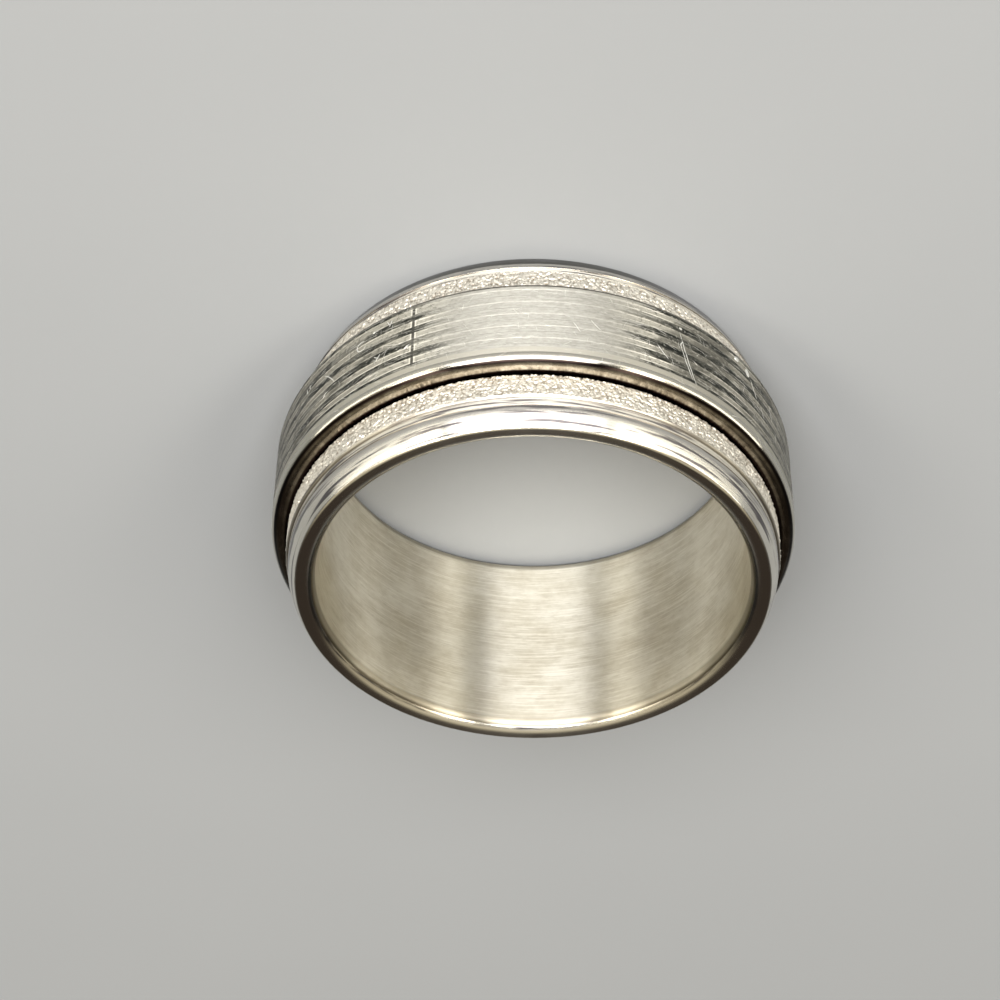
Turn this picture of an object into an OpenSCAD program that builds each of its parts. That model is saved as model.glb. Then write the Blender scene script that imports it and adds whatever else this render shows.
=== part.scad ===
// Spinner ring, lying on its rim with the finger bore upright.
// Two loose pieces of steel: an inner band with a channel round it, and a spinner band that turns in the channel.
// The origin is on the bore's axis, at the level of the lower rim. Both rims are alike.

/* [Ring] */
// Inside diameter, which sets the finger size
bore_d = 18.6; // [14:0.1:23]
// Width of the ring along the finger
ring_w = 10; // [8.5:0.1:14]

/* [Inner band] */
// Wall between the bore and the floor of the channel
floor_t = 0.7; // [0.5:0.05:1.2]
// Height of the flanges above the floor of the channel
flange_h = 0.6; // [0.5:0.05:1]
// Radius of the rounding where the bore meets a rim
lip_r = 0.55; // [0.2:0.05:0.6]
// Reach of the polished shoulder along the finger, from the rim
shoulder_w = 0.94; // [0.6:0.01:1.1]
// Fall of the polished shoulder towards the rim
shoulder_h = 0.34; // [0.2:0.01:0.4]
// Height of the step from the shoulder up to the blasted strip
step_h = 0.11; // [0.08:0.01:0.18]
// Width of the turned land between the shoulder and the step
land_w = 0.27; // [0.15:0.01:0.35]

/* [Turned lines] */
// Width of each fine groove beside the turned land
line_w = 0.07; // [0.04:0.01:0.12]
// Depth of each fine groove beside the turned land
line_d = 0.05; // [0.02:0.01:0.08]

/* [Spinner band] */
// Width of the spinner band along the finger
spinner_w = 4.64; // [4.4:0.02:5.2]
// Wall of the spinner band
spinner_t = 1.25; // [0.9:0.01:2]
// Radius of the rounded outer edges
edge_r = 0.45; // [0.2:0.01:0.5]
// Bevel on the inner edges
inner_bevel = 0.08; // [0.04:0.01:0.15]

/* [Stripes] */
// Number of satin stripes round the spinner band
stripe_n = 5; // [1:1:5]
// Distance from one stripe to the next
stripe_pitch = 0.71; // [0.5:0.01:0.74]
// Width of each stripe
stripe_w = 0.35; // [0.2:0.01:0.4]
// Depth to which each stripe is sunk
stripe_d = 0.04; // [0.02:0.01:0.08]
// How far the middle stripe lies above the middle of the ring
stripe_shift = -0.2; // [-0.3:0.01:0.3]

/* [Seam] */
// Direction of the fine seam across the stripes, from +X
seam_angle = -63; // [-180:1:180]
// Width of the seam
seam_w = 0.06; // [0.04:0.01:0.12]
// Depth of the seam
seam_d = 0.06; // [0.03:0.01:0.1]

/* [Clearance] */
// Running clearance between the spinner band's bore and the floor of the channel
run_gap = 0.08; // [0.02:0.01:0.1]
// Clearance at each side of the spinner band
side_gap = 0.12; // [0.05:0.01:0.2]

/* [Hidden] */
$fn = 180;
cut = 0.01;

mid_z = ring_w / 2;
bore_r = bore_d / 2;
floor_r = bore_r + floor_t;
flange_r = floor_r + flange_h;
shoulder_r = flange_r - step_h;
rim_r = shoulder_r - shoulder_h;
channel_w = spinner_w + 2 * side_gap;

// The lip leaves at least a quarter of the rim flat, to stand on
lip = min(lip_r, 0.75 * (rim_r - bore_r));

// An arc through the rim's outer corner that meets the land without a kink
shoulder_arc = (shoulder_w * shoulder_w + shoulder_h * shoulder_h) / (2 * shoulder_h);

// Heights above the rim of the land, the step and the strip
land_z = shoulder_w + line_w;
step_z = land_z + land_w + line_w;
strip_z = step_z + step_h;

spinner_in = floor_r + run_gap;
spinner_out = spinner_in + spinner_t;

// Section of one flange's outside, from the rim up to the channel, as an outline of radius and height
module shoulder_section() {
    intersection() {
        translate([shoulder_r - shoulder_arc, shoulder_w]) circle(r = shoulder_arc);
        translate([bore_r, 0]) square([shoulder_r - bore_r, shoulder_w]);
    }
}

// A fine groove with sloping sides, cut into radius r with its lower side at height z
module line_section(r, z) {
    polygon([
        [r + cut, z - cut],
        [r + cut, z + line_w + cut],
        [r - line_d, z + line_w / 2]
    ]);
}

// The step up to the strip is a quarter round
module step_section() {
    intersection() {
        translate([shoulder_r, strip_z]) circle(r = step_h);
        translate([shoulder_r, step_z]) square([step_h, step_h]);
    }
}

// Everything from the lower rim to the middle of the ring, before the bore's lip is rounded
module half_blank() {
    shoulder_section();
    difference() {
        translate([bore_r, shoulder_w]) square([shoulder_r - bore_r, mid_z - shoulder_w]);
        line_section(shoulder_r, shoulder_w);
        line_section(shoulder_r, land_z + land_w);
    }
    step_section();
    translate([shoulder_r - cut, strip_z]) square([step_h + cut, mid_z - strip_z]);
}

// The lip is a square corner with a quarter round left in it
module lip_section() {
    difference() {
        translate([bore_r - cut, -cut]) square(lip + cut);
        translate([bore_r + lip, lip]) circle(r = lip);
    }
}

module half_section() {
    difference() {
        half_blank();
        lip_section();
        translate([floor_r, mid_z - channel_w / 2]) square([2 * flange_h, channel_w]);
    }
}

module inner_band() {
    color("gainsboro")
    rotate_extrude() {
        half_section();
        translate([0, ring_w]) mirror([0, 1]) half_section();
    }
}

// Outline of the spinner band, centred on height zero
module spinner_blank() {
    half_w = spinner_w / 2;
    difference() {
        translate([spinner_in, -half_w]) square([spinner_t, spinner_w]);
        for (side = [-1, 1]) {
            // Outer edge, left as a quarter round
            difference() {
                translate([spinner_out, side * half_w]) square(2 * edge_r, center = true);
                translate([spinner_out - edge_r, side * (half_w - edge_r)]) circle(r = edge_r);
            }
            // Inner edge, left as a bevel
            translate([spinner_in, side * half_w])
                rotate(45) square(inner_bevel * sqrt(2), center = true);
        }
    }
}

module stripe_sections() {
    for (i = [0 : stripe_n - 1]) {
        at = stripe_shift + (i - (stripe_n - 1) / 2) * stripe_pitch;
        translate([spinner_out - stripe_d, at - stripe_w / 2]) square([2 * stripe_d, stripe_w]);
    }
}

// The seam crosses the striped zone, and half a land beyond it at each side
module seam_cut() {
    seam_l = stripe_n * stripe_pitch;
    rotate([0, 0, seam_angle])
        translate([spinner_out, 0, stripe_shift])
            cube([2 * seam_d, seam_w, seam_l], center = true);
}

module spinner_band() {
    color("silver")
    translate([0, 0, mid_z])
    difference() {
        rotate_extrude() difference() {
            spinner_blank();
            stripe_sections();
        }
        seam_cut();
    }
}

inner_band();
spinner_band();
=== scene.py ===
# %% [markdown]
# # A steel spinner ring
# The ring is two turned pieces of steel: a sleeve that goes on the finger, with a channel cut round its
# outside, and a loose band that turns in the channel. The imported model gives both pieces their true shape,
# size and motion. Blender adds what the eye reads as worn steel: brushing, polish, blasted grain, a seam
# and scratches.

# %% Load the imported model
import math
import bpy
import numpy as np
from mathutils import Matrix, Vector


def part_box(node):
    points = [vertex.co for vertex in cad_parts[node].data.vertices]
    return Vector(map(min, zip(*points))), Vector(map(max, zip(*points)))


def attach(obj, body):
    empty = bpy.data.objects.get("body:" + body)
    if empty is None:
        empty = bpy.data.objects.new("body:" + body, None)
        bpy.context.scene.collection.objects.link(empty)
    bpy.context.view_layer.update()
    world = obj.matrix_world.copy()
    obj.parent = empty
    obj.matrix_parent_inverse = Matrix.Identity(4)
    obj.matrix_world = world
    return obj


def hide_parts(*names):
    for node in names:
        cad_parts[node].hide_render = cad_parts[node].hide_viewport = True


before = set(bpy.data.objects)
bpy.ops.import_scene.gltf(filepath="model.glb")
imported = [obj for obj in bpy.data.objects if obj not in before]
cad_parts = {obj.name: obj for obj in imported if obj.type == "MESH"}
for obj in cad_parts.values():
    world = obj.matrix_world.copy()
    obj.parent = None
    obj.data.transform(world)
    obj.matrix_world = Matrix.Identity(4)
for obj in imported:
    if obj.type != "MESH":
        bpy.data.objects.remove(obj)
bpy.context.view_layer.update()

MM = 0.001

# %% [markdown]
# ## Camera
# The ring lies on its side, and the camera looks down at it over its near wall at about 43 degrees. It is
# rolled half a turn, so that the near wall is at the top of the picture and the far wall at the bottom,
# with the inside of the far wall in full view. A camera is turned most safely with a product of plain
# rotations, read from right to left: first the roll about its own line of sight, then the tilt down.

# %% Place the camera
CAMERA_AT = Vector((1.454, -84.225, 81.997)) * MM
TILT_DOWN = 42.58
ROLL = 180.85
camera_data = bpy.data.cameras.new("camera")
camera_data.sensor_width = 36.0
camera_data.lens = 93.6
camera_data.clip_start = 0.005
camera_data.clip_end = 20.0
camera = bpy.data.objects.new("camera", camera_data)
bpy.context.scene.collection.objects.link(camera)
tilt = Matrix.Rotation(math.radians(90 - TILT_DOWN), 4, "X")
roll = Matrix.Rotation(math.radians(ROLL), 4, "Z")
camera.matrix_world = Matrix.Translation(CAMERA_AT) @ tilt @ roll
bpy.context.scene.camera = camera
print("camera is", round(CAMERA_AT.length / MM, 1), "mm from the ring's foot")

# %% [markdown]
# ## Shader maths as plain Python
# A finish is a network of nodes, but it is easier to read as formulas. A Wire holds one output of a node
# and turns + - * and ** into Math nodes, so 1 - mask works as it does on paper. A Finish holds one
# material, and its one method `node` adds any other node. The rest are short names for the nodes that come
# up again and again. Numbers that don't change over the surface are set on the shader's own sockets.

# %% Wires
class Wire:
    """One output of a node, used like a number. Each operator adds one Math node."""

    def __init__(self, finish, socket):
        self.finish = finish
        self.socket = socket

    def maths(self, operation, first, second):
        return self.finish.node("Math", {"operation": operation}, {0: first, 1: second})

    def __add__(self, other):
        return self.maths("ADD", self, other)

    def __radd__(self, other):
        return self.maths("ADD", other, self)

    def __sub__(self, other):
        return self.maths("SUBTRACT", self, other)

    def __rsub__(self, other):
        return self.maths("SUBTRACT", other, self)

    def __mul__(self, other):
        return self.maths("MULTIPLY", self, other)

    def __rmul__(self, other):
        return self.maths("MULTIPLY", other, self)

    def __pow__(self, other):
        return self.maths("POWER", self, other)

    def __abs__(self):
        return self.maths("ABSOLUTE", self, 0.0)


print("a wire knows + - * ** and abs")

# %% Finishes
class Finish:
    """One material, or the studio's air, while its nodes are added."""

    def __init__(self, name, kind="materials", place="Object"):
        self.made = getattr(bpy.data, kind).new(name)
        self.made.use_nodes = True
        self.tree = self.made.node_tree
        self.tree.nodes.clear()
        self.place = self.node("TexCoord", output=place)

    def node(self, kind, settings={}, inputs={}, output=0):
        """Adds one node: its settings first, then a value or a wire for each socket. Returns one output."""
        made = self.tree.nodes.new("ShaderNode" + kind)
        for name, value in settings.items():
            setattr(made, name, value)
        for name, value in inputs.items():
            if isinstance(value, Wire):
                self.tree.links.new(value.socket, made.inputs[name])
            else:
                made.inputs[name].default_value = value
        return Wire(self, made.outputs[output]) if len(made.outputs) else made

    def stretched(self, x, y, z):
        """The piece's own coordinates, times so many steps a millimetre along each axis."""
        return self.node("Mapping", {}, {"Vector": self.place, "Scale": (x / MM, y / MM, z / MM)})

    def mm(self, axis):
        """How far a place on the piece lies along X, Y or Z, in millimetres."""
        return self.node("SeparateXYZ", {}, {"Vector": self.stretched(1, 1, 1)}, axis)

    def mm_from_axis(self):
        """Distance from the ring's axis in millimetres: the square root of x squared plus y squared."""
        x = self.mm("X")
        y = self.mm("Y")
        return (x * x + y * y) ** 0.5

    def noise(self, place, detail=3.0, rough=0.6):
        """Cloudy noise about 0.5, one lump to a step."""
        sockets = {"Vector": place, "Scale": 1.0, "Detail": detail, "Roughness": rough}
        return self.node("TexNoise", {}, sockets)

    def painted(self, attribute):
        """A number that the mesh itself holds at every point."""
        return self.node("Attribute", {"attribute_name": attribute}, {}, "Fac")

    def ramp(self, value, low, high, first=0.0, last=1.0):
        """A smooth climb from first to last, while value goes from low to high."""
        sockets = {"Value": value, "From Min": low, "From Max": high, "To Min": first, "To Max": last}
        return self.node("MapRange", {"interpolation_type": "SMOOTHSTEP"}, sockets)

    def blend(self, share, first, last):
        """The first colour where share is 0, the last where it is 1. Plain colours are red, green, blue."""
        tones = [tone if isinstance(tone, Wire) else (*tone, 1.0) for tone in (first, last)]
        return self.node("Mix", {"data_type": "RGBA"}, {"Factor": share, 6: tones[0], 7: tones[1]}, 2)

    def bump(self, height, depth):
        """Leans the surface as if height, from 0 to 1, stood so many millimetres proud."""
        return self.node("Bump", {}, {"Height": height, "Distance": depth * MM, "Strength": 1.0})

    def steel(self, colour, roughness, brushed, normal):
        """Metal that scatters more across its brush lines, which run round the ring, than along them."""
        sockets = {"Base Color": colour, "Roughness": roughness, "Metallic": 1.0, "Normal": normal}
        sockets["Anisotropic"] = brushed
        sockets["Anisotropic Rotation"] = 0.25
        shine = self.node("BsdfPrincipled", {}, sockets)
        self.node("OutputMaterial", {}, {"Surface": shine})
        return self.made


print("finishes are ready to be written as formulas")

# %% [markdown]
# ## Floor
# The floor is a plain pale sheet, far wider than the picture. A floor of one exact tone looks like cut
# paper, so a faint wide cloud of noise varies it by a tenth.

# %% Lay the floor
floor_finish = Finish("pale_floor")
floor_cloud = floor_finish.noise(floor_finish.stretched(0.02, 0.02, 0.02))
floor_tone = floor_finish.blend(floor_cloud, (0.173, 0.181, 0.192), (0.193, 0.201, 0.212))
floor_shine = floor_finish.node("BsdfPrincipled", {}, {"Base Color": floor_tone, "Roughness": 0.8})
floor_finish.node("OutputMaterial", {}, {"Surface": floor_shine})
FLOOR_CORNERS = [(-3, -3, 0), (3, -3, 0), (3, 3, 0), (-3, 3, 0)]
floor_mesh = bpy.data.meshes.new("floor")
floor_mesh.from_pydata(FLOOR_CORNERS, [], [(0, 1, 2, 3)])
floor_mesh.materials.append(floor_finish.made)
floor = bpy.data.objects.new("floor", floor_mesh)
bpy.context.scene.collection.objects.link(floor)
print("floor laid,", floor.dimensions.x, "m wide")

# %% [markdown]
# ## Soft light
# Steel shows little but what it mirrors, so the light is chosen for its shape. Upright soft panels stand on
# the camera's side. Three low ones stand almost end to end and light the outside of the ring. Five high
# ones shine over the near wall into the bore, and the gap on each side of the middle one draws a dark band
# down the far wall. The outermost two are dim and tan, so that the bore darkens towards its sides. A lamp
# could be placed by its metres, but here each is given by the angles that the ring sees, because those say
# where its reflection falls.

# %% Hang the soft panels
def panel(name, headings, climbs, glow, colour, away=0.36):
    """A soft upright panel that faces the ring's axis. It spans two headings, where 0 is the camera's side
    and 90 is +X, and two climbs above the floor, all in degrees as the ring sees them. Its width is twice
    the distance times the tangent of half its span, and its power is its brightness, glow, times pi and its
    area."""
    turn = math.radians(sum(headings) / 2)
    wide = 2 * away * math.tan(math.radians(headings[1] - headings[0]) / 2)
    foot, head = (away * math.tan(math.radians(climb)) for climb in climbs)
    light = bpy.data.lights.new(name, "AREA")
    light.shape = "RECTANGLE"
    light.size = wide
    light.size_y = head - foot
    light.energy = glow * math.pi * wide * (head - foot)
    light.color = colour
    lamp = bpy.data.objects.new(name, light)
    lamp.location = (away * math.sin(turn), -away * math.cos(turn), (foot + head) / 2)
    lamp.rotation_euler = (math.radians(90), 0, turn)
    bpy.context.scene.collection.objects.link(lamp)
    print(name, round(wide, 2), "by", round(head - foot, 2), "m")


WHITE = (1.0, 0.98, 0.94)
WARM = (1.0, 0.95, 0.83)
PEARL = (1.0, 0.96, 0.95)
TAN = (1.0, 0.89, 0.72)
LOW = (2, 14)
HIGH = (25, 58)
panel("low_centre_panel", (-29, 36), LOW, 4.2, PEARL)
panel("low_left_panel", (38, 92), LOW, 4.0, WARM)
panel("low_right_panel", (-96, -31), LOW, 4.0, WARM)
panel("high_centre_panel", (-22, 31), HIGH, 19.0, WHITE)
panel("high_left_panel", (42, 58), HIGH, 15.5, WARM)
panel("far_left_panel", (58, 77), HIGH, 1.8, TAN)
panel("high_right_panel", (-51, -36), HIGH, 15.5, WARM)
panel("far_right_panel", (-63, -51), HIGH, 3.6, TAN)

# %% [markdown]
# ## The studio's air
# Between the panels the steel mirrors the room, which is the scene's world. Its light depends on the
# direction alone: a soft grey near the horizon, a warm glow overhead, and dark elsewhere, which gives the
# rims their edge. For the world, Generated coordinates are that direction, with a length of one.

# %% Fill the studio with dim air
air = Finish("studio_air", "worlds", "Generated")
upward = air.node("SeparateXYZ", {}, {"Vector": air.place}, "Z")
beyond = air.node("SeparateXYZ", {}, {"Vector": air.place}, "Y")
horizon = air.ramp(upward, 0.22, 0.42, 1.0, 0.0)
overhead = air.ramp(abs(beyond - 0.05), 0.15, 0.55, 1.0, 0.0)
air_tone = air.blend(overhead, (0.042, 0.032, 0.025), (0.60, 0.53, 0.385))
air_tone = air.blend(horizon, air_tone, (0.15, 0.146, 0.135))
air_glow = air.node("Background", {}, {"Color": air_tone, "Strength": 1.0})
air.node("OutputWorld", {}, {"Surface": air_glow})
bpy.context.scene.world = air.made
bpy.context.scene.view_settings.view_transform = "Standard"
print("the air glows overhead and at the horizon, and is dim elsewhere")

# %% [markdown]
# ## Turned shapes
# Everything here was made on a lathe, so each piece is an outline of radius and height, carried round the
# axis. No turned edge is perfectly sharp, and the light that a small rounding catches is what makes an edge
# look real. A Bevel modifier could round them, but it can't tell a lip from a fine groove, so the outline
# is drawn with corners here, and each corner is rounded over by a radius of its own.

# %% Round the corners of an outline
def eased(corners, steps):
    """Rounds the corners of a closed outline whose rows are radius, height and rounding. A corner is cut
    back along both sides by rounding / tan(half its angle), and an arc of that radius joins the cuts. One
    point is added on each side just beyond the arc, so that the flats stay flat. Rounding 0 leaves a single
    point."""
    at = corners[:, :2]
    back = np.roll(at, 1, axis=0) - at
    ahead = np.roll(at, -1, axis=0) - at
    back = back / np.linalg.norm(back, axis=1, keepdims=True)
    ahead = ahead / np.linalg.norm(ahead, axis=1, keepdims=True)
    half = np.arccos(np.clip((back * ahead).sum(axis=1), -1, 1)) / 2
    half = np.minimum(half, np.pi / 2 - 1e-6)
    rounding = corners[:, 2]
    cut = rounding / np.tan(half)
    inward = back + ahead + 1e-12
    inward = inward / np.linalg.norm(inward, axis=1, keepdims=True)
    centre = at + inward * (rounding / np.sin(half))[:, None]
    start = at + back * cut[:, None]
    stop = at + ahead * cut[:, None]
    sweep = (np.pi - 2 * half)[:, None]
    t = np.linspace(0, 1, steps)[None, :]
    from_start = np.sin((1 - t) * sweep) / np.sin(sweep)
    from_stop = np.sin(t * sweep) / np.sin(sweep)
    arc = centre[:, None] + from_start[..., None] * (start - centre)[:, None]
    arc = arc + from_stop[..., None] * (stop - centre)[:, None]
    beyond_arc = (cut + np.minimum(0.4 * cut, 0.02))[:, None]
    first = (at + back * beyond_arc)[:, None]
    last = (at + ahead * beyond_arc)[:, None]
    line = np.concatenate([first, arc, last], axis=1).reshape(-1, 2)
    apart = np.linalg.norm(line - np.roll(line, 1, axis=0), axis=1)
    return line[apart > 1e-5]


square = np.array([(0, 0, 0.1), (1, 0, 0.1), (1, 1, 0), (0, 1, 0)])
print("a square with two round corners has", len(eased(square, 5)), "points")

# %% Carry an outline round and make a mesh of it
def carried_round(radius, height, angle):
    """Points of a turned surface: (radius cos angle, radius sin angle, height), for grids of the three."""
    return np.stack([radius * np.cos(angle), radius * np.sin(angle), height + 0 * angle], axis=-1)


def closed_surface(name, points, finishes, body, row_finish=None):
    """A mesh on a grid of points in millimetres whose rows and columns both close on themselves. Each point
    is joined to the next in its row and in its column. The signed volume, a sixth of the sum of a dot (b
    cross c) over the triangles, is below zero if the faces point inwards, and they are then turned
    round."""
    rows, columns = points.shape[:2]
    here = np.arange(rows * columns).reshape(rows, columns)
    beside = np.roll(here, -1, axis=1)
    above = np.roll(here, -1, axis=0)
    across = np.roll(beside, -1, axis=0)
    quads = np.stack([here, beside, across, above], axis=-1).reshape(-1, 4)
    flat = points.reshape(-1, 3)
    a, b, c, d = (flat[quads[:, k]] for k in range(4))
    volume = ((a * np.cross(b, c)).sum() + (a * np.cross(c, d)).sum()) / 6
    if volume < 0:
        quads = quads[:, ::-1]
    mesh = bpy.data.meshes.new(name)
    mesh.vertices.add(len(flat))
    mesh.vertices.foreach_set("co", (flat * MM).ravel())
    mesh.loops.add(quads.size)
    mesh.loops.foreach_set("vertex_index", quads.ravel())
    mesh.polygons.add(len(quads))
    mesh.polygons.foreach_set("loop_start", np.arange(len(quads)) * 4)
    mesh.polygons.foreach_set("use_smooth", np.ones(len(quads), dtype=bool))
    for finish in finishes:
        mesh.materials.append(finish)
    if row_finish is not None:
        mesh.polygons.foreach_set("material_index", np.repeat(row_finish, columns))
    mesh.update(calc_edges=True)
    mesh.validate()
    piece = bpy.data.objects.new(name, mesh)
    bpy.context.scene.collection.objects.link(piece)
    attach(piece, body)
    print(name, len(quads) * 2, "triangles,", round(abs(volume), 1), "cubic mm")
    return piece


# %% [markdown]
# ## The sleeve's inside
# The inside was brushed round and round, so it is satin with hair-fine lines. Such lines scatter light
# across themselves: a lamp is smeared into a band along the ring. The shader's anisotropy gives the smear,
# and noise stretched round the ring gives the lines that can be seen one by one. The rounded lips carry
# painted shade, dark at the near side and lighter at the far side, which stands for the dark that they
# mirror.
# The distance from the ring's middle tells the lips apart from the bore.

# %% Satin inside
INNER_LOW, INNER_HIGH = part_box("inner_band")
WIDTH = INNER_HIGH.z / MM
# Painted shade for the lips: dark at the near side, lighter at the far side.
NEAR_LIP_SHADE = (0.052, 0.046, 0.036)
FAR_LIP_SHADE = (0.135, 0.120, 0.092)


def satin_inside():
    """Warm grey clouds, then light hair lines and brown swirls, then painted shade on the lips from 4.38 mm
    off the middle, darker on the near side.
    """
    finish = Finish("satin_inside")
    hair = finish.noise(finish.stretched(0.35, 0.35, 14), 4.0, 0.75)
    swirl = finish.noise(finish.stretched(1.2, 1.2, 7), 3.0, 0.7)
    cloud = finish.noise(finish.stretched(0.5, 0.5, 0.7), 4.0, 0.65)
    tone = finish.blend(finish.ramp(cloud, 0.3, 0.75), (0.66, 0.633, 0.556), (0.495, 0.457, 0.369))
    tone = finish.blend(finish.ramp(hair, 0.45, 0.65) * 0.5, tone, (0.80, 0.78, 0.715))
    tone = finish.blend(finish.ramp(swirl, 0.5, 0.7) * 0.3, tone, (0.374, 0.33, 0.26))
    from_middle = abs(finish.mm("Z") - WIDTH / 2)
    near_side = finish.ramp(finish.mm("Y"), -5.0, 1.0, 1.0, 0.0)
    bore_lip_shade = finish.blend(near_side, FAR_LIP_SHADE, NEAR_LIP_SHADE)
    # Painted shade on the lips: the first band tones their highlight down, the second darkens them.
    tone = finish.blend(finish.ramp(from_middle, 4.38, 4.54, 0.0, 0.68), tone, (0.22, 0.20, 0.155))
    tone = finish.blend(finish.ramp(from_middle, 4.68, 4.80, 0.0, 0.97), tone, bore_lip_shade)
    rough = 0.27 + 0.08 * hair + 0.02 * cloud
    return finish.steel(tone, rough, 1.0, finish.bump(hair, 0.004))


inside_finish = satin_inside()
print("the ring is", round(WIDTH, 2), "mm wide, and", inside_finish.name, "is made")

# %% [markdown]
# ## The sleeve's outside
# The outside was polished on the lathe and mirrors clearly, with faint turning lines. Soft dark streaks
# along them are painted reflection. Painted shade follows the shape: the foot of the ring, which rests on
# the table, is darkened, so is the lip, the step up to the strip is a little darker, and the shoulder is a
# little greyer where it dips to the groove. The two fine grooves beside the turned land hold dirt, and the
# land itself was left satin. Each of these is a mask on the height, and the lip is one on the distance from
# the axis. Such masks stay crisp however near the camera comes, which a painted picture would not.

# %% Polished outside
def groove_grime(finish, height):
    """0.8 along the two grooves of either half, told by their distance from the ring's middle. That is the
    place halfway between them, plus or minus half their spacing, and the lower half has them closer
    together."""
    halfway = finish.ramp(height, 4.9, 5.1, 3.92, 3.853)
    half_spacing = finish.ramp(height, 4.9, 5.1, 0.105, 0.172)
    from_groove = abs(abs(height - WIDTH / 2) - halfway) - half_spacing
    return finish.ramp(abs(from_groove), 0.025, 0.05, 0.8, 0.0)


def polished_outside():
    """Bright steel, then painted shade on the foot, grooves, painted reflection streaks, painted shade on
    the lip and the step, and a painted greyer dip, each laid over the tone by its own mask."""
    finish = Finish("polished_outside")
    lines = finish.noise(finish.stretched(0.3, 0.3, 18), 3.0, 0.6)
    cloud = finish.noise(finish.stretched(0.9, 0.9, 1.5), 4.0, 0.6)
    streak = finish.noise(finish.stretched(0.2, 0.2, 5), 3.0, 0.65)
    height = finish.mm("Z")
    from_middle = abs(height - WIDTH / 2)
    tone = finish.blend(cloud, (0.78, 0.76, 0.70), (0.64, 0.61, 0.54))
    # Painted shade darkens the foot of the ring.
    foot_shade = finish.ramp(height + 0.2 * cloud, 0.70, 0.82, 0.95, 0.0)
    tone = finish.blend(foot_shade, tone, (0.03, 0.029, 0.022))
    tone = finish.blend(groove_grime(finish, height), tone, (0.10, 0.08, 0.06))
    # Painted reflection: soft dark streaks along the turning lines.
    painted_reflection_streaks = finish.ramp(streak, 0.50, 0.60) * finish.ramp(from_middle, 4.88, 4.95, 0.95, 0.0)
    tone = finish.blend(painted_reflection_streaks, tone, (0.115, 0.105, 0.112))
    # Painted shade on the lip, darker on the near side.
    outer_lip_shade = finish.ramp(finish.mm_from_axis(), 9.54, 9.62, 0.97, 0.0)
    outer_lip_shade = outer_lip_shade * finish.ramp(finish.mm("Y"), -1.0, 6.0, 1.0, 0.25)
    tone = finish.blend(outer_lip_shade, tone, NEAR_LIP_SHADE)
    # Painted shade: the step up to the strip is darker.
    tone = finish.blend(finish.ramp(from_middle, 3.66, 3.72, 0.45, 0.0), tone, (0.40, 0.375, 0.33))
    # Painted shade: a greyer band where the shoulder dips to the groove.
    dip = finish.ramp(from_middle, 4.05, 4.09) * finish.ramp(from_middle, 4.15, 4.42, 1.0, 0.0)
    tone = finish.blend(dip * 0.4, tone, (0.34, 0.32, 0.32))
    satin_land = finish.ramp(from_middle, 3.98, 4.04, 0.24, 0.0)
    rough = 0.13 + 0.08 * cloud + 0.06 * lines + satin_land
    return finish.steel(tone, rough, 0.8, finish.bump(lines, 0.002))


def shaded_channel():
    """Painted shade: nearly black, because only a hair of the channel is ever seen beside the band, and no
    light gets in."""
    finish = Finish("shaded_channel")
    cloud = finish.noise(finish.stretched(2, 2, 2), 4.0, 0.6)
    tone = finish.blend(cloud, (0.035, 0.020, 0.016), (0.10, 0.07, 0.055))
    return finish.steel(tone, 0.45 + 0.3 * cloud, 0.5, finish.bump(cloud, 0.01))


outside_finish = polished_outside()
channel_finish = shaded_channel()
print("finishes:", outside_finish.name, channel_finish.name)

# %% [markdown]
# ## The sleeve
# From each rim inwards the outside has a flat end face, a rounded shoulder, a turned land between two fine
# grooves, a quarter-round step, the blasted strip and the channel. The two halves mirror each other, but
# for a land that is a little narrower below, so one function draws both. The shoulder isn't a plain arc: it
# leans quickly near the land and then hardly more, which is where its long highlight comes from, so the
# lean is given as a curve and added up. Under the strips the sleeve is sunk a little, and the strips fill
# that place.

# %% Draw the sleeve's outline
FLANGE_R = INNER_HIGH.x / MM
BORE_R = 9.3
CHANNEL_R = 10.0
CHANNEL_TOP = 7.44
STRIP_TOP = WIDTH - 1.46
LOWER_STRIP_TOP = WIDTH - 1.30
STEP = 0.11
LAND_R = FLANGE_R - STEP
SHOULDER = 0.94
LAND_TOP = WIDTH - SHOULDER
GROOVE_DEEP = 0.05
HALF_GROOVE = 0.035
SUNK_R = FLANGE_R - 0.08
reach = np.linspace(0, SHOULDER, 24)
lean = np.radians(np.interp(reach, [0, 0.33, SHOULDER], [0, 22, 28]))
fall = np.cumsum(np.tan(lean)) * (reach[1] - reach[0])
shoulder = np.column_stack([LAND_R - fall, LAND_TOP + reach, 0 * reach])[::-1]
RIM_R = shoulder[0, 0]


def groove(at, lower_rounding):
    """A fine groove like a V in the land, with its bottom at height at: upper edge, bottom and lower
    edge."""
    upper_edge = (LAND_R, at + HALF_GROOVE, 0.012)
    lower_edge = (LAND_R, at - HALF_GROOVE, lower_rounding)
    return [upper_edge, (LAND_R - GROOVE_DEEP, at, 0.01), lower_edge]


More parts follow.
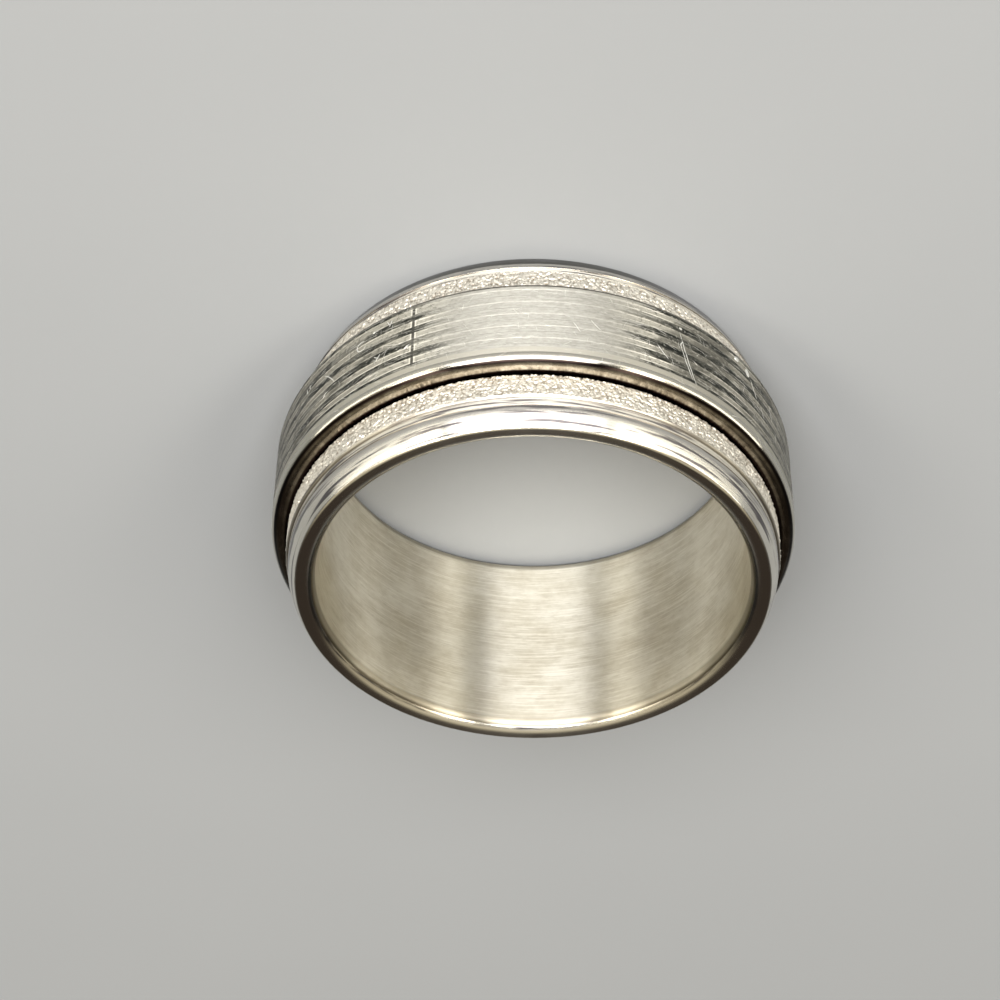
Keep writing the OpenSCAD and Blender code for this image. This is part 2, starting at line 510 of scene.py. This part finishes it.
def half_outline(inner_groove, strip_from):
    """The upper half of the outline, from the bore to the channel. A quarter round climbs from the land to
    the strip's edge at height strip_from: at each angle of its bend it stands STEP times the cosine above
    the land's radius, and STEP times the sine above that height."""
    bend = np.radians(np.linspace(80, 0, 6))
    step = np.column_stack([LAND_R + STEP * np.cos(bend), strip_from + STEP * np.sin(bend), 0 * bend])
    return np.vstack([
        [(BORE_R, WIDTH, 0.58), (RIM_R, WIDTH, 0.16)],
        shoulder[5:-1],
        groove(LAND_TOP - HALF_GROOVE, 0.012),
        groove(inner_groove, 0.005),
        step,
        [(FLANGE_R, strip_from - 0.01, 0), (SUNK_R, strip_from - 0.02, 0)],
        [(SUNK_R, CHANNEL_TOP, 0.01), (CHANNEL_R, CHANNEL_TOP, 0.03)],
    ])


upper_half = half_outline(8.685, STRIP_TOP)
lower_half = half_outline(8.825, LOWER_STRIP_TOP)[::-1] * (1, -1, 1) + (0, WIDTH, 0)
sleeve_line = eased(np.vstack([upper_half, lower_half]), 9)
print("the sleeve's outline has", len(sleeve_line), "points, and the rim starts at radius", round(RIM_R, 2))

# %% Turn the sleeve
sleeve_turn = np.linspace(-np.pi, np.pi, 360, endpoint=False)[None, :]
sleeve_points = carried_round(sleeve_line[:, :1], sleeve_line[:, 1:], sleeve_turn)
between = (sleeve_line + np.roll(sleeve_line, -1, axis=0)) / 2
in_bore = between[:, 0] < BORE_R + 0.2
near_middle = np.abs(between[:, 1] - WIDTH / 2) < CHANNEL_TOP - WIDTH / 2 + 0.001
in_channel = near_middle & (between[:, 0] > CHANNEL_R - 0.1)
which_finish = in_bore + 2 * in_channel
sleeve_finishes = [outside_finish, inside_finish, channel_finish]
sleeve = closed_surface("sleeve", sleeve_points, sleeve_finishes, "inner", which_finish)
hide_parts("inner_band")

# %% [markdown]
# ## The blasted strips
# Each strip sparkles, because blasting left it covered in small facets that lean every way. A bump map
# would be flat at the edge, but on the ring the grain breaks the outline, so it is real relief here. One
# point is thrown at random into each cell of a lattice round the strip. Every point has a height and a lean
# of its own, and a place on the surface takes mostly those of its nearest points, which makes cells like
# cracked mud with tilted tops. All places are worked out at once: the two loops go over the neighbouring
# cells, never over the places.

# %% Work out the grain
def grain(around, along, cells_around, cells_along, seed):
    """Height of the grain, about -1 to 1, on grids of two coordinates counted in cells. Each cell near a
    place offers height + lean * offset, with the weight exp(-9 * squared distance), and the mean is taken.
    Distance is stretched along a direction of the cell's own, so that the grains are long and lie every
    way. A crease runs where the nearest point and the second nearest are equally far away."""
    dice = np.random.default_rng(seed)
    spot = dice.uniform(0.1, 0.9, (cells_along, cells_around, 2))
    rise = dice.uniform(-0.5, 0.5, (cells_along, cells_around))
    slope = dice.normal(0, 0.8, (cells_along, cells_around, 2))
    lie = dice.uniform(0, np.pi, (cells_along, cells_around))
    column = np.floor(around).astype(int)
    row = np.floor(along).astype(int)
    total = np.zeros(np.broadcast(around, along).shape)
    weight = total + 1e-9
    nearest = total + 9
    second = total + 9
    for side in range(-2, 3):
        for end in range(-2, 3):
            i = (column + side) % cells_around
            j = np.clip(row + end, 0, cells_along - 1)
            away_u = around - (column + side) - spot[j, i, 0]
            away_v = along - (row + end) - spot[j, i, 1]
            length = away_u * np.cos(lie[j, i]) + away_v * np.sin(lie[j, i])
            breadth = away_v * np.cos(lie[j, i]) - away_u * np.sin(lie[j, i])
            apart = np.hypot(0.62 * length, 1.35 * breadth)
            second = np.minimum(second, np.maximum(nearest, apart))
            nearest = np.minimum(nearest, apart)
            share = np.exp(-9.0 * apart ** 2)
            total = total + share * (rise[j, i] + slope[j, i, 0] * away_u + slope[j, i, 1] * away_v)
            weight = weight + share
    crease = np.exp(-((second - nearest) / 0.22) ** 2)
    return total / weight - 0.6 * crease


print("the grain is ready to be cast")

# %% [markdown]
# ## The strips' finish
# Blasted steel is dull close up, because every facet is itself rough. It is whiter than the polished parts,
# and the pits between the facets hold a little dirt. The mesh hands the grain's height to the finish as an
# attribute named rise, so that the dirt lies exactly in the pits.

# %% Blasted steel
def blasted():
    """White-grey in fine specks, and browner the lower the attribute rise, from -0.2 down to -1.1."""
    finish = Finish("blasted_grain")
    speck = finish.noise(finish.stretched(16, 16, 16), 2.0, 0.6)
    cloud = finish.noise(finish.stretched(1.5, 1.5, 1.5), 3.0, 0.6)
    tone = finish.blend(finish.ramp(speck, 0.35, 0.7), (0.67, 0.635, 0.57), (0.82, 0.795, 0.73))
    tone = finish.blend(finish.ramp(finish.painted("rise"), -1.1, -0.2), (0.38, 0.34, 0.285), tone)
    return finish.steel(tone, 0.42 + 0.14 * cloud, 0.0, finish.bump(speck, 0.006))


blasted_finish = blasted()
print("finish:", blasted_finish.name)

# %% [markdown]
# ## The strips, raised
# A strip is a closed ring with a grained face and a plain back that is sunk in the sleeve. Grain of one
# size looks knitted, so a second grain of half the size is added at a quarter of the strength. The columns
# of points stand 0.03 mm apart round the ring, about four to a grain, which is as coarse as it can be and
# still sparkle.

# %% Raise the two strips
GRAIN = 0.12
GRAIN_HEIGHT = 0.036
CELLS_ALONG = 100
STRIP_ROWS = 36
STRIP_COLUMNS = 2200
CELLS_AROUND = round(2 * np.pi * FLANGE_R / GRAIN)
strip_turn = np.linspace(-np.pi, np.pi, STRIP_COLUMNS, endpoint=False)[None, :]


def strip_outline(strip_from):
    """The strip's face, in even rows from height strip_from to the channel, and its hidden back."""
    face_z = np.linspace(strip_from, CHANNEL_TOP + 0.02, STRIP_ROWS)
    face = np.column_stack([np.full(STRIP_ROWS, FLANGE_R), face_z])
    back_r = FLANGE_R - 0.1
    back_z = CHANNEL_TOP - 0.002
    return np.vstack([face, [(FLANGE_R - 0.02, back_z), (back_r, back_z), (back_r, strip_from - 0.01)]])


def raise_strip(name, strip_from, seed):
    """Grain, and a quarter as much of grain half its size, moves each place of the face away from the axis.
    It fades out over 0.06 mm at the strip's edge. Cells are counted round the ring, and down from the upper
    rim. The lower strip is the same, mirrored: its height is the ring's width less the height."""
    line = strip_outline(strip_from)
    fade = np.clip((strip_from - line[:, 1]) / 0.06, 0, 1) * (line[:, 0] > FLANGE_R - 0.03)
    around = (strip_turn + np.pi) / (2 * np.pi) * CELLS_AROUND + 0 * line[:, 1:]
    along = (WIDTH - line[:, 1:]) / GRAIN + 0 * strip_turn
    coarse = grain(around, along, CELLS_AROUND, CELLS_ALONG, seed)
    twice_around = (2 * around) % (2 * CELLS_AROUND)
    fine = grain(twice_around, 2 * along, 2 * CELLS_AROUND, 2 * CELLS_ALONG, seed + 1)
    relief = coarse + 0.25 * fine
    radius = line[:, :1] + fade[:, None] * GRAIN_HEIGHT * relief
    height = line[:, 1:] if name == "upper_strip" else WIDTH - line[:, 1:]
    strip = closed_surface(name, carried_round(radius, height, strip_turn), [blasted_finish], "inner")
    strip.data.attributes.new("rise", "FLOAT", "POINT").data.foreach_set("value", relief.ravel())
    print("its grain stands up to", round(float(relief.max()) * GRAIN_HEIGHT, 3), "mm proud")


raise_strip("upper_strip", STRIP_TOP, 5)
raise_strip("lower_strip", LOWER_STRIP_TOP, 9)

# %% [markdown]
# ## The spinner band's finish
# Five satin stripes run round the band between darker polished lands. The shader knows which is which from
# the height alone: the distance to the nearest stripe's middle line, against half a stripe's width. A
# painted image could do it too, but it would blur close up, and masks on the height never do.
#
# The first cell gives the tones of each part: lands painted nearly black as a painted reflection of dark
# surroundings, brushed lighter in patches and dashes, satin stripes with a bright line at either side, and
# the brown flat side, which lies in the shade of the channel and has painted shade: black down in the
# channel and a black line at its outer edge.

# %% Tones of lands, stripes and sides
SPIN_LOW, SPIN_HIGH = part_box("spinner_band")
SPIN_R = SPIN_HIGH.x / MM
SPIN_BASE = SPIN_LOW.z / MM
SPIN_TOP = SPIN_HIGH.z / MM
PITCH = 0.71
STRIPE = 0.35
HALF_FIELD = 2.5 * PITCH
MIDDLE = WIDTH / 2 - 0.2


def land_tone(finish, mottle, patch, rubbed_and_lit):
    """Polish painted nearly black in clouds, a painted reflection of dark surroundings, with grey patches
    where patch noise is high and bright dashes over them."""
    dash = finish.noise(finish.stretched(0.8, 0.8, 11), 3.0, 0.6)
    tone = finish.blend(finish.ramp(mottle, 0.4, 0.62), (0.022, 0.024, 0.021), (0.15, 0.148, 0.13))
    patches = finish.ramp(patch + 0.3 * rubbed_and_lit, 0.5, 0.68) * 0.75
    tone = finish.blend(patches, tone, (0.36, 0.35, 0.31))
    dashes = finish.ramp(dash + 0.1 * rubbed_and_lit, 0.54, 0.64) * 0.7
    return finish.blend(dashes, tone, (0.66, 0.65, 0.60))


def stripe_tone(finish, hair, patch, rubbed_and_lit, from_line):
    """Satin grey with hair lines. It is brightest 0.135 mm off the stripe's middle line, and shaded where
    patch noise is low."""
    tone = finish.blend(hair, (0.27, 0.263, 0.235), (0.48, 0.468, 0.42))
    bright_line = finish.ramp(abs(from_line - 0.135), 0.01, 0.04, 1.0, 0.0)
    tone = finish.blend(bright_line * finish.ramp(hair, 0.38, 0.6), tone, (0.84, 0.82, 0.76))
    shade = finish.ramp(patch + 0.3 * rubbed_and_lit, 0.32, 0.5, 0.8, 0.0)
    return finish.blend(shade, tone, (0.14, 0.138, 0.122))


def side_tone_and_shade(finish, mottle, from_axis):
    """Brown in clouds, with painted shade: black inside radius 10.7 mm, down in the channel, and black
    outside
    11.15 mm, at the edge."""
    tone = finish.blend(finish.ramp(mottle, 0.4, 0.65), (0.172, 0.149, 0.119), (0.292, 0.265, 0.224))
    tone = finish.blend(finish.ramp(from_axis, 10.70, 10.80), (0.012, 0.006, 0.005), tone)
    return finish.blend(finish.ramp(from_axis, 11.03, 11.15), tone, (0.012, 0.008, 0.007))


print("stripes at", np.round(MIDDLE + PITCH * np.arange(-2, 3), 2), "mm")

# %% [markdown]
# ## Wear, painted highlight and the seam
# Wear comes over those tones: specks, and places rubbed to an even dull grey, which the mesh marks with an
# attribute. In front that grey is also painted highlight. The seam is where the stripes begin and end. It is
# a plain dark gap of about a tenth of a millimetre, fainter on the lands, with a bright line at both sides
# where the stripes close.

# %% Specks, rubbing and the seam
SEAM = math.radians(-63)


def specked(finish, tone):
    """Dark specks in the hollows of a fine noise, and light ones on its peaks."""
    speck = finish.noise(finish.stretched(6, 6, 9), 2.0, 0.6)
    tone = finish.blend(finish.ramp(speck, 0.34, 0.44, 0.55, 0.0), tone, (0.05, 0.05, 0.044))
    return finish.blend(finish.ramp(speck, 0.58, 0.68, 0.0, 0.45), tone, (0.62, 0.61, 0.56))


def worn_and_lit_grey(finish, tone, mottle, scuff, rubbed_and_lit):
    """Even grey laid over the tone by how far the place is rubbed, a little thinner in the mottle's hollows.
    In front that grey is painted highlight as well as wear."""
    dull = finish.blend(finish.ramp(scuff, 0.4, 0.6), (0.278, 0.272, 0.247), (0.357, 0.350, 0.321))
    share = finish.ramp(rubbed_and_lit, 0.0, 1.0) * finish.ramp(mottle, 0.25, 0.5, 0.75, 0.97)
    return finish.blend(share, tone, dull)


def seamed(finish, tone, stripe, field):
    """The seam lies in the direction (cos SEAM, sin SEAM). A place's share of that direction says if it is
    on the seam's side of the ring, and its share of the direction square to it says how far off the seam it
    is."""
    east = finish.mm("X")
    north = finish.mm("Y")
    off_seam = abs(east * math.sin(-SEAM) + north * math.cos(SEAM))
    on_side = finish.ramp(east * math.cos(SEAM) + north * math.sin(SEAM), 10.0, 10.5)
    closing = finish.ramp(abs(off_seam - 0.105), 0.012, 0.042, 0.65, 0.0) * on_side * field * stripe
    tone = finish.blend(closing, tone, (0.80, 0.785, 0.73))
    gap = finish.ramp(off_seam, 0.050, 0.072, 1.0, 0.0) * on_side * field
    return finish.blend(gap * (0.45 + 0.5 * stripe), tone, (0.075, 0.072, 0.064))


print("the seam is at", round(math.degrees(SEAM)), "degrees")

# %% [markdown]
# ## The spinner band's finish, put together
# The tones are laid over each other from the bottom up. Beyond the stripes the band is plain polish, the
# flat sides take their own tone, and painted shade darkens the band under the lower edge. Satin and rubbed
# places are rougher than polish, the rounded edge above is smoother, and the hair lines lean the surface a
# little.

# %% Put the spinner band's finish together
def striped_face():
    finish = Finish("striped_face")
    height = finish.mm("Z")
    from_axis = finish.mm_from_axis()
    rubbed_and_lit = finish.painted("rubbed_and_lit")
    hair = finish.noise(finish.stretched(0.3, 0.3, 15), 4.0, 0.7)
    mottle = finish.noise(finish.stretched(1.4, 1.4, 4), 4.0, 0.7)
    patch = finish.noise(finish.stretched(0.45, 0.45, 1.1), 3.0, 0.6)
    scuff = finish.noise(finish.stretched(3, 3, 9), 4.0, 0.75)
    from_middle = abs(height - MIDDLE)
    from_line = finish.node("Math", {"operation": "PINGPONG"}, {0: from_middle, 1: PITCH / 2})
    stripe = finish.ramp(from_line, STRIPE / 2 - 0.02, STRIPE / 2 + 0.02, 1.0, 0.0)
    field = finish.ramp(from_middle, HALF_FIELD - 0.03, HALF_FIELD + 0.03, 1.0, 0.0)
    side = finish.ramp(abs(height - WIDTH / 2), 2.12, 2.19)
    land = land_tone(finish, mottle, patch, rubbed_and_lit)
    tone = finish.blend(stripe, land, stripe_tone(finish, hair, patch, rubbed_and_lit, from_line))
    tone = worn_and_lit_grey(finish, specked(finish, tone), mottle, scuff, rubbed_and_lit)
    plain = finish.blend(mottle, (0.60, 0.58, 0.52), (0.44, 0.42, 0.36))
    tone = finish.blend(field, plain, tone)
    tone = finish.blend(side, tone, side_tone_and_shade(finish, mottle, from_axis))
    # Painted shade darkens the band under its lower edge.
    lower_edge_shade = finish.ramp(height + 0.04 * scuff, 2.98, 3.08, 0.92, 0.0)
    tone = finish.blend(lower_edge_shade, tone, (0.022, 0.018, 0.014))
    tone = seamed(finish, tone, stripe, field)
    satin = finish.node("Math", {"operation": "MAXIMUM"}, {0: stripe, 1: rubbed_and_lit}) * field
    rough = finish.ramp(satin, 0, 1, 0.32, 0.43) + 0.12 * mottle
    upper_edge = finish.ramp(height - WIDTH / 2, 1.83, 1.90)
    side_dull = finish.ramp(from_axis, 11.00, 11.12, 0.05, 0.0) * side
    rough = finish.ramp(upper_edge, 0, 1, 1, 0.42) * rough + side_dull
    return finish.steel(tone, rough, 0.85, finish.bump(hair, 0.004))


striped_finish = striped_face()
print("the striped finish has", len(striped_finish.node_tree.nodes), "nodes")

# %% [markdown]
# ## The spinner band
# Its outline has rounded outer edges, flat sides, a small bevel inside, and the five shallow stripes. The
# seam crosses the stripes at one place, so the columns of points stand close together there, and the radius
# dips between them by a few thousandths of a millimetre, enough to catch a glint.

# %% Draw the spinner band's outline
SPIN_IN = 10.08
EDGE = 0.45
BEVEL = 0.08
STRIPE_DEEP = 0.012
FLAT_R = SPIN_R - EDGE - 0.02
FIELD_LOW = MIDDLE - HALF_FIELD
FIELD_HIGH = MIDDLE + HALF_FIELD
stripe_rows = (MIDDLE + PITCH * np.arange(-2, 3))[:, None] + np.array([[-0.20, -0.15, 0.15, 0.20]])
stripe_radii = SPIN_R - STRIPE_DEEP * np.array([[0, 1, 1, 0]]) + 0 * stripe_rows
stripe_line = np.column_stack([stripe_radii.ravel(), stripe_rows.ravel(), np.full(stripe_rows.size, 0.006)])
bend = np.radians(np.linspace(0, 90, 12))
edge_r = SPIN_R - EDGE * (1 - np.cos(bend))
edge_z = SPIN_TOP - EDGE * (1 - np.sin(bend))
upper_edge = np.column_stack([edge_r, edge_z, 0 * bend])
lower_edge = upper_edge[::-1] * (1, -1, 1) + (0, SPIN_TOP + SPIN_BASE, 0)
spin_corners = np.vstack([
    [(SPIN_IN, SPIN_TOP - BEVEL, 0.02), (SPIN_IN, SPIN_BASE + BEVEL, 0.02)],
    [(SPIN_IN + BEVEL, SPIN_BASE, 0.02), (FLAT_R, SPIN_BASE, 0)],
    lower_edge,
    stripe_line,
    [(SPIN_R, FIELD_HIGH - 0.01, 0), (SPIN_R, FIELD_HIGH + 0.01, 0)],
    upper_edge,
    [(FLAT_R, SPIN_TOP, 0), (SPIN_IN + BEVEL, SPIN_TOP, 0.02)],
])
spin_line = eased(spin_corners, 3)
print("the spinner band's outline has", len(spin_line), "points")

# %% Turn the spinner band
SEAM_DEEP = 0.005
seam_offsets = np.array([-0.4, -0.2, -0.16, -0.1, -0.05, 0, 0.05, 0.1, 0.16, 0.2, 0.4])
even_columns = np.linspace(-np.pi, np.pi, 640, endpoint=False)
clear = np.abs(even_columns - SEAM) > math.radians(0.5)
spin_turn = np.sort(np.concatenate([even_columns[clear], SEAM + np.radians(seam_offsets)]))[None, :]
dip = np.clip(1 - np.abs(spin_turn - SEAM) / math.radians(0.17), 0, 1)
in_field = (spin_line[:, 1] > FIELD_LOW) & (spin_line[:, 1] < FIELD_HIGH)
on_seam = in_field & (spin_line[:, 0] > SPIN_R - 0.1)
spin_radius = spin_line[:, :1] - SEAM_DEEP * np.minimum(dip * 2, 1) * on_seam[:, None]
spin_points = carried_round(spin_radius, spin_line[:, 1:], spin_turn)
spinner = closed_surface("spinner", spin_points, [striped_finish], "spinner")
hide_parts("spinner_band")

# %% [markdown]
# ## Rubbed and lit places
# The thumb has rubbed the band dull in three places, and the first of them, in front at -89.5 degrees, is
# also painted highlight: its even grey stands for the light washed over the front. Each is a soft-edged
# stretch of angle: exp(-(distance from its middle / its half width) to the fourth power) is almost 1 inside,
# and falls off quickly outside. One spot beside the first stretch is left dark, with less of the painted
# highlight. The result goes into the mesh as an attribute, so it turns with the band.

# %% Rub it dull and paint the light in front
RUBBED_AND_LIT_AT = np.radians([-89.5, 22, 140])[:, None]
RUBBED_AND_LIT_WIDE = np.radians([22.5, 26, 17])[:, None]
off_middle = (spin_turn - RUBBED_AND_LIT_AT + np.pi) % (2 * np.pi) - np.pi
# The first stretch, in front, is painted highlight as well as wear.
rubbed_and_lit = np.exp(-(off_middle / RUBBED_AND_LIT_WIDE) ** 4).max(axis=0)
unlit_spot = np.exp(-((spin_turn - math.radians(-125)) / math.radians(9)) ** 2)
rubbed_and_lit = rubbed_and_lit - 0.7 * unlit_spot + 0 * spin_radius
spinner.data.attributes.new("rubbed_and_lit", "FLOAT", "POINT").data.foreach_set("value", rubbed_and_lit.ravel())
print("rubbed dull over", round(float((rubbed_and_lit > 0.5).mean()) * 100), "per cent of the band")

# %% [markdown]
# ## Scratches
# A scratch in steel throws up a bright burr along its side, and that burr is what the light picks out. So
# each scratch here is a thin spindle laid on the band: a path that may bend, with a flat diamond carried
# along it that tapers to a point at both ends. A picture of scratches would be flat and blurred, and these
# glint and turn with the band. All spindles of a kind are made in one go and are one mesh.

# %% Lay spindles on the band
def spindles(rows, points):
    """Rows are angle and height of the middle, heading from level, length, bend (all angles in degrees,
    lengths in mm) and width. The heading turns evenly by the bend along the path, and the place is the
    running sum of its cosine and sine. The diamond's half width is the root of 1 - t squared, for t from -1
    to 1 along the path. The band's own radius at each height carries the path, so it dips into the
    stripes."""
    angle, height, heading, length, bend, width = np.array(rows, dtype=float).T[:, :, None]
    t = np.linspace(-1, 1, points)[None, :]
    course = np.radians(heading + bend * t / 2)
    pace = length / (points - 1)
    along = np.cumsum(np.cos(course), axis=1) * pace
    rising = np.cumsum(np.sin(course), axis=1) * pace
    along = along - along.mean(axis=1, keepdims=True)
    rising = rising - rising.mean(axis=1, keepdims=True) + height
    taper = np.sqrt(np.clip(1 - t ** 2, 0, 1)) + 0.02
    side = np.array([-1, 0, 1, 0]) * taper[..., None] * width[..., None] / 2
    lift = np.array([0, 0.16, 0, -0.16]) * taper[..., None] * width[..., None] + 0.002
    across = along[..., None] - side * np.sin(course)[..., None]
    up = rising[..., None] + side * np.cos(course)[..., None]
    face = spin_line[np.argsort(spin_line[:, 1])]
    face = face[face[:, 0] > SPIN_R - 0.3]
    radius = np.interp(up, face[:, 1], face[:, 0]) + lift
    around = np.radians(angle)[..., None] + across / SPIN_R
    return carried_round(radius, up, around)


trial = spindles([(0, 5, 0, 1, 0, 0.05)], 5)
print("a trial spindle's rings are", np.round(np.diff(trial[0, :, 1, 1]), 2), "mm apart")

# %% Make every scratch in one go
scratch_finish = Finish("bright_scratch")
glint = scratch_finish.noise(scratch_finish.stretched(6, 6, 6), 2.0, 0.6)
glint_tone = scratch_finish.blend(glint, (0.80, 0.79, 0.74), (0.97, 0.96, 0.93))
scratch_finish.steel(glint_tone, 0.30 + 0.2 * glint, 0.0, scratch_finish.bump(glint, 0.004))


def scratches(name, rows, points):
    """One mesh of all rows. Ring after ring of four corners is joined by quads, and a quad closes each
    end."""
    spots = spindles(rows, points)
    count = len(rows)
    first = (np.arange(count) * points * 4)[:, None, None]
    ring = first + np.arange(points - 1)[None, :, None] * 4
    here = np.arange(4)[None, None, :]
    after = (here + 1) % 4
    quads = np.stack([ring + here, ring + after, ring + 4 + after, ring + 4 + here], -1)
    tail = first[:, 0] + [3, 2, 1, 0]
    tip = first[:, 0] + (points - 1) * 4 + [0, 1, 2, 3]
    faces = quads.reshape(-1, 4).tolist() + np.concatenate([tail, tip]).tolist()
    mesh = bpy.data.meshes.new(name)
    mesh.from_pydata((spots.reshape(-1, 3) * MM).tolist(), [], faces)
    mesh.materials.append(scratch_finish.made)
    piece = bpy.data.objects.new(name, mesh)
    bpy.context.scene.collection.objects.link(piece)
    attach(piece, "spinner")
    print(name, count, "scratches,", len(mesh.polygons) * 2, "triangles")


# %% [markdown]
# ## Marks and scuffs
# The large marks are listed one row each: angle, height, heading, length, bend and width. The fine
# scuffs are strewn from a seed, so they fall in the same places each time. Most run nearly along the band,
# as grit carried round by the turning would leave them, and about a fifth run across it. They are finer
# in front, where the band is rubbed dull and its grey is also painted highlight.

# %% Place the large scratches
MARKS = [
    (-49.5, 3.98, 90, 1.25, 285, 0.06),
    (-54.5, 5.22, 55, 0.42, 0, 0.06),
    (-54.0, 5.16, 140, 0.30, 20, 0.05),
    (-61.6, 5.30, 30, 0.32, 0, 0.06),
    (-61.8, 5.34, 110, 0.26, 0, 0.06),
    (-57.4, 3.50, 70, 0.36, 0, 0.05),
    (-56.8, 3.44, 115, 0.34, 0, 0.05),
    (-53.1, 3.57, 0, 0.14, 0, 0.13),
    (-38.7, 5.30, 30, 0.40, 60, 0.06),
    (-40.0, 4.50, 130, 1.30, -25, 0.05),
    (-31.0, 3.90, 100, 0.32, 0, 0.07),
    (-32.2, 3.82, 100, 0.28, 0, 0.06),
    (-123.1, 5.28, 105, 2.85, 8, 0.05),
    (-122.7, 5.50, 107, 2.00, 10, 0.04),
    (-116.9, 5.52, 129, 0.84, 0, 0.045),
    (-121.7, 4.60, 75, 0.45, 120, 0.05),
    (-121.6, 3.67, 0, 0.16, 0, 0.13),
    (-138.2, 3.27, 20, 0.30, 0, 0.26),
    (-142.0, 3.52, 100, 0.42, 0, 0.28),
    (-144.2, 4.15, 118, 0.95, -10, 0.06),
    (-147.5, 5.00, 110, 0.70, 0, 0.04),
    (-152.0, 4.30, 100, 0.90, 0, 0.04),
    (-154.0, 5.40, 95, 0.60, 0, 0.04),
    (-102.0, 5.05, 128, 0.70, 15, 0.03),
    (-98.0, 5.30, 120, 0.60, -10, 0.03),
]
scratches("large_scratches", MARKS, 17)

# %% Strew the fine scuffs
SCUFFS = 620
ACROSS_SHARE = 0.22
strewn = np.random.default_rng(21)
angle = strewn.uniform(-180, 180, SCUFFS)
height = strewn.uniform(2.95, 6.95, SCUFFS)
heading = strewn.normal(0, 9, SCUFFS)
heading = heading + 90 * (strewn.uniform(0, 1, SCUFFS) < ACROSS_SHARE)
heading = heading + strewn.normal(0, 14, SCUFFS)
length = strewn.lognormal(-0.75, 0.5, SCUFFS)
curl = strewn.normal(0, 12, SCUFFS)
width = strewn.uniform(0.009, 0.020, SCUFFS)
width = width * np.where(np.abs(angle + 88) < 22, 0.45, 1.0)
scuff_rows = np.column_stack([angle, height, heading, length, curl, width])
scratches("fine_scuffs", scuff_rows, 7)
